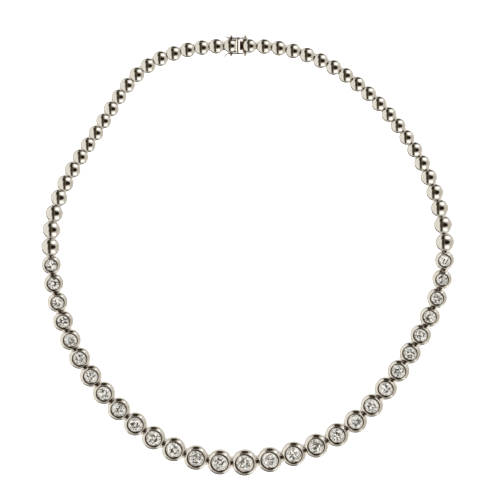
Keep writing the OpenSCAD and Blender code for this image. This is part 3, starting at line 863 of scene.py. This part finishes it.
def catch(side, curl):
    """A wire safety catch: an eye on its peg, a shank with a small ring, a hook over the other peg and a curl."""
    wire, y = CATCH_WIRE / 2 - SHY / 2, side * CATCH_Y
    thin, waist_x = SHANK_SHARE * wire, (HOOK_PEG_X - HINGE_PEG_X) / 2
    # Painted shade: the outer catch's wire is in the dark shade metal, the inner one's in the brown, and both curls
    # brown
    wire_shade = dark if side < 0 else brown
    # The small ring and the hook: from and to how many degrees, and in how many points
    waist_turn, hook_turn = (0, 354, 28), (-15, 195, 24)
    eye_sides, eye_edge, tail_points = 40, 0.1, 14

    def arc(x, radius, start, end, points):
        return [(x - radius * math.cos(a), y, PEG_Z + radius * math.sin(a))
                for a in np.linspace(math.radians(start), math.radians(end), points)]

    def shank(x0, x1):
        return tube([(x0, y, PEG_Z), (x1, y, PEG_Z)], thin)

    end_x = HOOK_PEG_X + HOOK_R
    tail = [(end_x + TAIL_R * math.sin(a), y + side * TAIL_R * (1 - math.cos(a)), PEG_Z)
            for a in np.linspace(0, math.radians(curl), tail_points)]
    return [ring_y(-HINGE_PEG_X, PEG_Z, CATCH_BORE_R, CATCH_EYE_R - SHY, y - wire, y + wire, eye_sides, eye_edge),
            wire_shade(shank(-HINGE_PEG_X + CATCH_EYE_R - LAP, waist_x - WAIST_R)),
            wire_shade(tube(arc(waist_x, WAIST_R, *waist_turn), wire)),
            wire_shade(shank(waist_x + WAIST_R, HOOK_PEG_X - HOOK_R)),
            wire_shade(tube(arc(HOOK_PEG_X, HOOK_R, *hook_turn), wire)),
            brown(tube(tail, thin))]


clasp_at = place(0)
for name, shapes, body, node in (
        ("box_clasp", clasp_box(), "necklace", "clasp_box"),
        ("box_tongue", clasp_tongue(), "necklace", "clasp_tongue"),
        ("safety_catch_outer", catch(-1, 50), "outer_catch", "catch_outer"),
        ("safety_catch_inner", catch(1, 70), "inner_catch", "catch_inner")):
    build(name, [(clasp_at, shape) for shape in shapes], body, [node])


# ---- Studio ----
def build_floor():
    """A pale floor that the metal doesn't mirror."""
    half = 3.0
    mesh = bpy.data.meshes.new("floor")
    mesh.from_pydata([(-half, -half, 0), (half, -half, 0), (half, half, 0), (-half, half, 0)], [], [(0, 1, 2, 3)])
    floor = bpy.data.objects.new("floor", mesh)
    bpy.context.scene.collection.objects.link(floor)
    values = {"Base Color": (0.9, 0.9, 0.9, 1), "Roughness": 0.9, "Specular IOR Level": 0.0}
    mesh.materials.append(new_material("pale_floor", values)[0])
    floor.visible_glossy = False


# The studio that the metal mirrors, as cards laid over each other on a base colour. A card has ranges of the
# direction's X, Y and Z, a soft edge and a colour. FREE is past every direction, so the card has no edge there
FREE = 2
ALL, UP, LOW = (-FREE, FREE), (0.0, FREE), (-FREE, 0.0)
CARDS = [
    ("lighter_right", (0.66, FREE), (0.25, FREE), UP, 0.1, (0.68, 0.65, 0.6)),
    ("cream_left", (-FREE, -0.35), ALL, UP, 0.05, (0.84, 0.81, 0.74)),
    ("grey_streak", (-0.72, -0.6), (-0.5, 0.35), UP, 0.05, (0.74, 0.73, 0.67)),
    ("strip_top", (-0.46, 0.0), (0.3, 0.84), UP, 0.07, (0.03, 0.024, 0.013)),
    ("strip_middle", (-0.34, 0.04), (-0.36, 0.34), UP, 0.05, (0.05, 0.04, 0.025)),
    ("strip_bottom", (-0.28, -0.02), (-0.88, -0.33), UP, 0.05, (0.045, 0.036, 0.025)),
    ("brown_middle", (-0.04, 0.26), (-0.34, 0.3), UP, 0.06, (0.13, 0.1, 0.065)),
    ("box_back", (0.15, 0.68), (0.34, 0.76), UP, 0.07, (1.25, 1.25, 1.25)),
    ("front_left", (-0.65, -0.2), (-FREE, -0.72), (-0.02, 0.2), 0.05, (0.42, 0.39, 0.35)),
    ("front", (-0.2, 0.25), (-FREE, -0.88), UP, 0.05, (0.35, 0.33, 0.29)),
    ("box_front", (0.07, 0.56), (-0.84, -0.44), UP, 0.07, (1.2, 1.19, 1.16)),
    ("dark_back", (-0.3, 0.34), (0.84, FREE), UP, 0.05, (0.03, 0.02, 0.012)),
    ("low", ALL, ALL, LOW, 0.02, (0.4, 0.38, 0.34)),
    ("low_front", ALL, (-FREE, -0.45), LOW, 0.1, (0.22, 0.2, 0.18)),
    ("low_left", (-FREE, -0.45), (-0.35, FREE), LOW, 0.1, (0.36, 0.34, 0.3)),
    ("low_right", (0.45, FREE), ALL, LOW, 0.1, (0.4, 0.38, 0.34)),
    ("low_back", ALL, (0.5, FREE), LOW, 0.1, (0.2, 0.18, 0.15)),
    ("nadir", ALL, ALL, (-FREE, -0.8), 0.1, (0.75, 0.72, 0.66)),
    ("horizon_front", ALL, (-FREE, -0.45), (-0.4, 0.0), 0.05, (0.06, 0.055, 0.05)),
    ("horizon_left", (-FREE, -0.4), (-0.35, FREE), (-0.25, 0.1), 0.05, (0.85, 0.82, 0.75)),
    ("horizon_right", (0.7, FREE), ALL, (-0.2, 0.1), 0.05, (0.85, 0.82, 0.76)),
    ("front_right", (0.3, 0.8), (-FREE, -0.5), (-0.02, 0.12), 0.04, (1.1, 1.09, 1.05)),
    ("horizon_back", (-0.35, 0.45), (0.6, FREE), (-0.12, 0.2), 0.05, (0.03, 0.025, 0.02)),
]
# An oval dark spot: its centre and half sizes in X and Y, its soft edge and its colour
BLOB = ((0.33, -0.06), (0.3, 0.24), 0.25, (0.012, 0.007, 0.005))
HORIZON_SOFT = 0.05
BASE = (0.56, 0.52, 0.445)


def build_world():
    world = bpy.data.worlds.new("studio")
    bpy.context.scene.world = world
    world.use_nodes = True
    nt = world.node_tree
    nodes, links = nt.nodes, nt.links
    background = nodes["Background"]
    coord = nodes.new("ShaderNodeTexCoord")
    split = nodes.new("ShaderNodeSeparateXYZ")
    links.new(coord.outputs["Generated"], split.inputs[0])

    def edge(value, at, soft, rising):
        """From 0 to 1, or from 1 to 0, where the value passes a place."""
        step = nodes.new("ShaderNodeMapRange")
        step.interpolation_type = "SMOOTHSTEP"
        start, end = (0.0, 1.0) if rising else (1.0, 0.0)
        set_values(step, {"From Min": at - soft, "From Max": at + soft, "To Min": start, "To Max": end})
        links.new(value, step.inputs["Value"])
        return step.outputs["Result"]

    def math_node(kind, *values):
        node = nodes.new("ShaderNodeMath")
        node.operation = kind
        for socket, value in zip(node.inputs, values):
            if isinstance(value, (int, float)):
                socket.default_value = value
            else:
                links.new(value, socket)
        return node.outputs[0]

    def lay(label, under, mask, colour):
        """One card over what lies under it."""
        mix = nodes.new("ShaderNodeMix")
        mix.label = label
        mix.data_type = "RGBA"
        mix.clamp_factor = True
        links.new(mask, mix.inputs[0])
        if isinstance(under, tuple):
            mix.inputs[6].default_value = (*under, 1)
        else:
            links.new(under, mix.inputs[6])
        mix.inputs[7].default_value = (*colour, 1)
        return mix.outputs[2]

    colour = BASE
    for label, in_x, in_y, in_z, soft, tint in CARDS:
        mask = None
        for name, (low, high) in zip("XYZ", (in_x, in_y, in_z)):
            for at, rising in ((low, True), (high, False)):
                if abs(at) < FREE:
                    side = edge(split.outputs[name], at, soft, rising)
                    mask = side if mask is None else math_node("MULTIPLY", mask, side)
        colour = lay(label, colour, mask, tint)
    (bx, by), (rx, ry), soft, tint = BLOB
    dx = math_node("DIVIDE", math_node("SUBTRACT", split.outputs["X"], bx), rx)
    dy = math_node("DIVIDE", math_node("SUBTRACT", split.outputs["Y"], by), ry)
    away = math_node("SQRT", math_node("ADD", math_node("MULTIPLY", dx, dx), math_node("MULTIPLY", dy, dy)))
    spot = math_node("MULTIPLY", edge(away, 1.0, soft, False), edge(split.outputs["Z"], 0.0, HORIZON_SOFT, True))
    colour = lay("dark_spot", colour, spot, tint)
    links.new(colour, background.inputs["Color"])


LAMP_W, LAMP_POWER, LAMP_Z = 1.6, 46.0, 1.4


def build_lights():
    """A wide lamp overhead that lights the floor and isn't mirrored. The metal mirrors the cards instead."""
    data = bpy.data.lights.new("overhead", "AREA")
    data.shape = "DISK"
    data.size = LAMP_W
    data.energy = LAMP_POWER
    lamp = bpy.data.objects.new("overhead", data)
    lamp.location = (0, 0, LAMP_Z)
    bpy.context.scene.collection.objects.link(lamp)
    lamp.visible_glossy = False
    lamp.visible_transmission = False
    lamp.visible_camera = False


# The camera looks down on the necklace, tilted from straight above, at a view this wide. AIM is given in mm
TILT, DISTANCE, VIEW_W, SENSOR_W = math.radians(9.0), 1.3, 0.1596, 36.0
AIM = Vector((0.706, 2.267, 1.6)) * MM


def build_camera():
    data = bpy.data.cameras.new("camera")
    data.sensor_width = SENSOR_W
    data.lens = SENSOR_W * DISTANCE / VIEW_W
    data.clip_start, data.clip_end = 0.05, 20.0
    cam = bpy.data.objects.new("camera", data)
    back = Vector((0, math.sin(TILT), math.cos(TILT)))
    cam.location = AIM + back * DISTANCE
    x = Vector((1, 0, 0))
    y = back.cross(x)
    cam.matrix_world = Matrix((
        (x.x, y.x, back.x, cam.location.x), (x.y, y.y, back.y, cam.location.y),
        (x.z, y.z, back.z, cam.location.z), (0, 0, 0, 1)))
    bpy.context.scene.collection.objects.link(cam)
    bpy.context.scene.camera = cam


build_floor()
build_world()
build_lights()
build_camera()
bpy.context.scene.view_settings.view_transform = "Standard"
bpy.context.scene.view_settings.look = "None"
